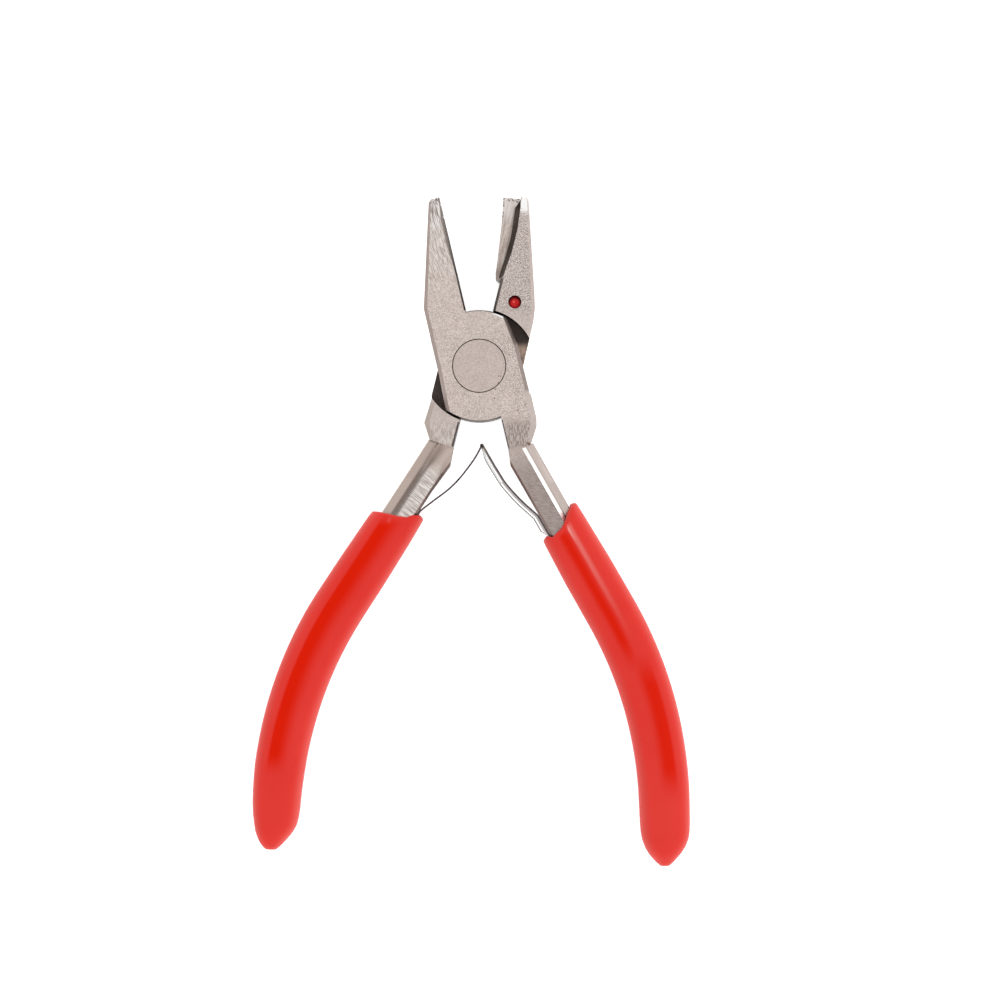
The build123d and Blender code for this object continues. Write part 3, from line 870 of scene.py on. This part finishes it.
right_end = right_h.length
left_end = left_h.length
right_grip = grip(
    "grip_right", right_h,
    [(9, 4.70), (14, 4.80), (18, 4.96), (26, 5.20), (40, 5.27), (60, 5.23),
     (75, 5.11), (right_end - 9, 5.05), (right_end - 7, 4.95),
     (right_end - 5.5, 4.72), (right_end - 3.8, 4.08), (right_end - 2.4, 3.20),
     (right_end - 1.0, 1.95), (right_end - 0.3, 1.25), (right_end, 0.85)],
    [(-4.8, 15.9), (-3.9, 15.7), (-3.0, 16.3), (-0.5, 15.7), (1.5, 14.6),
     (3.2, 13.4), (4.8, 12.5)],
    3.1, -0.25,
    [(-32.0, -62.0, 2.0, 8.0, -2.4, -1.0, -0.4, 0.8, 0.9),
     (-56.0, -86.5, 8.0, 7.0, -1.4, 0.8, 2.2, 2.9, 0.9)],
    [(-30.2, -56.0, 0.6, 24.0, 0.45, 0.90, 1.10, 1.9, 0.26),
     (-30.0, -37.0, 0.5, 6.0, 0.55, 0.80, 0.90, 1.15, 0.85)])
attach(right_grip, "front")
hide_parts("right_grip")
left_grip = grip(
    "grip_left", left_h,
    [(9, 4.64), (14, 4.80), (18, 4.98), (28, 5.20), (40, 5.27), (60, 5.21),
     (71, 5.09), (left_end - 9, 4.83), (left_end - 7, 4.65),
     (left_end - 5.2, 4.33), (left_end - 3.6, 3.76), (left_end - 2.2, 2.95),
     (left_end - 1.0, 2.10), (left_end - 0.3, 1.40), (left_end, 1.00)],
    [(-4.8, 12.2), (-3.8, 12.1), (-2.8, 12.6), (-2.0, 13.8), (0.1, 14.65),
     (1.5, 15.05), (2.8, 15.5), (4.8, 16.3)],
    8.4, 0.75,
    [(-29.5, -82.0, 2.5, 5.0, -2.3, 0.9, 2.15, 2.6, 0.97)],
    [(-29.8, -30.9, 0.2, 0.5, -2.4, -1.4, 0.4, 1.4, 0.8)])
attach(left_grip, "rear")
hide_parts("left_grip")


# ---- leaf springs -------------------------------------------------------------
LEAF_T = 0.36           # strip thickness
LEAF_HALF = 2.0         # half its width
TONGUE_HALF = 0.7       # half width of the left strip's tongue
PRONG_IN = 1.1          # inner edge of the right strip's prongs
FORK_L = 8.2            # length of tongue and prongs
ROLL_R = 0.38           # rolled end of the tongue
HINGE_S = 10.9          # where the strip leaves the shaft
LEAF_U = -3.24          # the shaft's inner side
LINE_STEPS = 10         # steps from one route point to the next


def smooth_line(points):
    """Catmull-Rom through plan points, in mm."""
    pts = [Vector(p) for p in points]
    pts = [pts[0] * 2 - pts[1]] + pts + [pts[-1] * 2 - pts[-2]]
    out = []
    for i in range(1, len(pts) - 2):
        p0, p1, p2, p3 = pts[i - 1:i + 3]
        for k in range(LINE_STEPS):
            t = k / LINE_STEPS
            out.append(0.5 * ((2 * p1) + (p2 - p0) * t
                              + (2 * p0 - 5 * p1 + 4 * p2 - p3) * t * t
                              + (3 * p1 - p0 - 3 * p2 + p3) * t ** 3))
    out.append(pts[-2])
    return out


def roll(verts, faces, at, radius, half):
    """Rolled end of the tongue: a short upright pin."""
    ring = 20
    first = len(verts)
    for z in (-half, half):
        for i in range(ring):
            a = 2 * math.pi * i / ring
            verts.append(Vector((at.x + radius * math.cos(a),
                                 at.y + radius * math.sin(a), MID_Z + z)) * MM)
    bridge(faces, first, first + ring, ring)
    faces.append(tuple(first + i for i in reversed(range(ring))))
    faces.append(tuple(first + ring + i for i in range(ring)))


def leaf(name, h, s_end, route, profile, lean):
    """Thin strip: tang on the shaft, bowed blade, shaped tip.

    profile(d) gives the strip's z spans, d mm before its tip; lean is how far
    the lower edge stands out from under the upper one along the free part.
    """
    tang = []
    steps = 10
    for k in range(steps):
        s = s_end + (HINGE_S + 0.6 - s_end) * k / (steps - 1)
        p = h.point(s, LEAF_U + 0.02) / MM
        tang.append(Vector((p.x, p.y)))
    line = tang[:-1] + smooth_line(tang[-2:] + route)[LINE_STEPS:]
    lengths = [0.0]
    for a, b in zip(line[:-1], line[1:]):
        lengths.append(lengths[-1] + (b - a).length)
    total = lengths[-1]
    verts, faces = [], []
    spans = max(len(profile(d)) for d in (total, 0.5))
    for part in range(spans):
        first = len(verts)
        rows = 0
        for i, p in enumerate(line):
            d = total - lengths[i]
            zs = profile(d)
            if part >= len(zs):
                continue
            a = line[max(0, i - 1)]
            b = line[min(len(line) - 1, i + 1)]
            t = (b - a).normalized()
            n = Vector((-t.y, t.x))
            lo, hi = zs[part]
            free = lengths[i] - (s_end - HINGE_S)
            tilt = lean * ease(free, -5.5, -3.5) * (0.4 + 0.6 * ease(d, 0, 3))
            for side, z in ((1, lo), (1, hi), (-1, hi), (-1, lo)):
                drop = (LEAF_HALF - z) / (2 * LEAF_HALF)
                off = n * (side * LEAF_T / 2 + tilt * drop)
                verts.append(Vector((p.x + off.x, p.y + off.y, MID_Z + z)) * MM)
            rows += 1
        for r in range(rows - 1):
            q = first + r * 4
            for k in range(4):
                j = (k + 1) % 4
                faces.append((q + k, q + j, q + 4 + j, q + 4 + k))
        faces.append((first, first + 1, first + 2, first + 3))
        e = first + (rows - 1) * 4
        faces.append((e + 3, e + 2, e + 1, e))
    if len(profile(0.5)) == 1:
        roll(verts, faces, line[-1], ROLL_R, TONGUE_HALF)
    o = mesh_object(name, verts, faces, spring_mat, smooth=False)
    turn_outward(o)
    return o


def tongue(d):
    """Full strip narrowing to a tongue towards the tip."""
    shoulder = 0.8
    share = max(0.0, min(1.0, (d - FORK_L) / shoulder))
    half = TONGUE_HALF + (LEAF_HALF - TONGUE_HALF) * share
    return [(-half, half)]


def fork(d):
    """Two prongs at the tip; they overlap a little where they join."""
    if d > FORK_L:
        return [(-LEAF_HALF, 0.01), (-0.01, LEAF_HALF)]
    end = 0.25 * max(0.0, 1.0 - d / 0.6) ** 2
    inner, outer = PRONG_IN + end * 0.5, LEAF_HALF - end
    return [(-outer, -inner), (inner, outer)]


left_leaf = leaf("leaf_left", left_h, 21.5,
                 [(-9.2, -26.85), (-6.4, -24.75), (-4.4, -22.85),
                  (-2.6, -20.65), (-0.85, -18.2), (0.5, -15.75)], tongue, 0.0)
right_leaf = leaf("leaf_right", right_h, 25.0,
                  [(8.4, -26.8), (5.45, -23.55), (3.9, -21.2), (2.45, -18.8),
                   (0.75, -15.8)], fork, 0.95)


left_hinge = left_h.point(HINGE_S, LEAF_U)
right_hinge = right_h.point(HINGE_S, LEAF_U)
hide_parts("left_spring_tang", "left_spring_blade")
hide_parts("right_spring_tang", "right_spring_blade")
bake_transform(left_leaf)
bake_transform(right_leaf)


# ---- floor, light and camera ---------------------------------------------------
def floor():
    """White paper, bright enough to lose all but the contact shadows."""
    g = Graph("floor_paper")
    n = g.noise(g.mapped(), 30, 2.0)
    g.put(g.ramp(n, [(0.3, (0.93, 0.93, 0.93)), (0.7, (0.95, 0.95, 0.95))]),
          g.bsdf.inputs["Base Color"])
    g.bsdf.inputs["Roughness"].default_value = 0.9
    g.bsdf.inputs["Specular IOR Level"].default_value = 0.1
    g.bsdf.inputs["Emission Color"].default_value = (1, 1, 1, 1)
    g.bsdf.inputs["Emission Strength"].default_value = 0.75
    bpy.ops.mesh.primitive_plane_add(size=6.0, location=(0, 0, -0.00005))
    o = bpy.context.object
    o.name = "floor"
    o.data.materials.append(g.mat)


def studio():
    """Even white tent, a little brighter to the right and dimmer low down."""
    world = bpy.data.worlds.new("studio")
    bpy.context.scene.world = world
    world.use_nodes = True
    tree = world.node_tree
    bg = tree.nodes["Background"]
    bg.inputs[0].default_value = (1, 1, 1, 1)

    def node(kind, *links, **values):
        n = tree.nodes.new(kind)
        for k, v in values.items():
            setattr(n, k, v)
        for i, src in enumerate(links):
            if hasattr(src, "is_output"):
                tree.links.new(src, n.inputs[i])
            else:
                n.inputs[i].default_value = src
        return n

    coord = tree.nodes.new("ShaderNodeTexCoord").outputs["Generated"]
    x, _, z = node("ShaderNodeSeparateXYZ", coord).outputs
    ramp = node("ShaderNodeValToRGB", z)
    e = ramp.color_ramp.elements
    while len(e) < 4:
        e.new(0.5)
    for item, (pos, v) in zip(e, ((0.0, 0.80), (0.35, 0.97), (0.8, 1.04),
                                  (1.0, 0.90))):
        item.position = pos
        item.color = (v, v, v, 1)
    side = node("ShaderNodeMath", x, 0.05, operation="MULTIPLY")
    total = node("ShaderNodeMath", ramp.outputs[0], side.outputs[0],
                 operation="ADD")
    tree.links.new(total.outputs[0], bg.inputs[1])


def area(name, loc, target, size, power):
    """Soft rectangular light, turned to its target."""
    data = bpy.data.lights.new(name, "AREA")
    data.shape = "RECTANGLE"
    data.size, data.size_y = size
    data.energy = power
    o = bpy.data.objects.new(name, data)
    bpy.context.scene.collection.objects.link(o)
    o.location = loc
    d = Vector(target) - Vector(loc)
    o.rotation_euler = d.to_track_quat("-Z", "Y").to_euler()


floor()
studio()
centre = Vector((0.00414, -0.02668, 0.006))     # middle of the view, m
area("soft_right", (0.9, 0.1, 0.35), centre, (0.5, 1.2), 0.3)

DISTANCE = 0.50         # camera above the middle of the view, m
VIEW_WIDTH = 0.2        # width of the view at that distance
SENSOR = 36.0
cam_data = bpy.data.cameras.new("camera")
cam = bpy.data.objects.new("camera", cam_data)
bpy.context.scene.collection.objects.link(cam)
cam.location = (centre.x, centre.y, centre.z + DISTANCE)
cam.rotation_euler = (0, 0, 0)
cam_data.sensor_width = SENSOR
cam_data.lens = SENSOR * DISTANCE / VIEW_WIDTH
cam_data.clip_start = 0.01
bpy.context.scene.camera = cam

scene = bpy.context.scene
scene.view_settings.view_transform = "Standard"
scene.view_settings.look = "None"
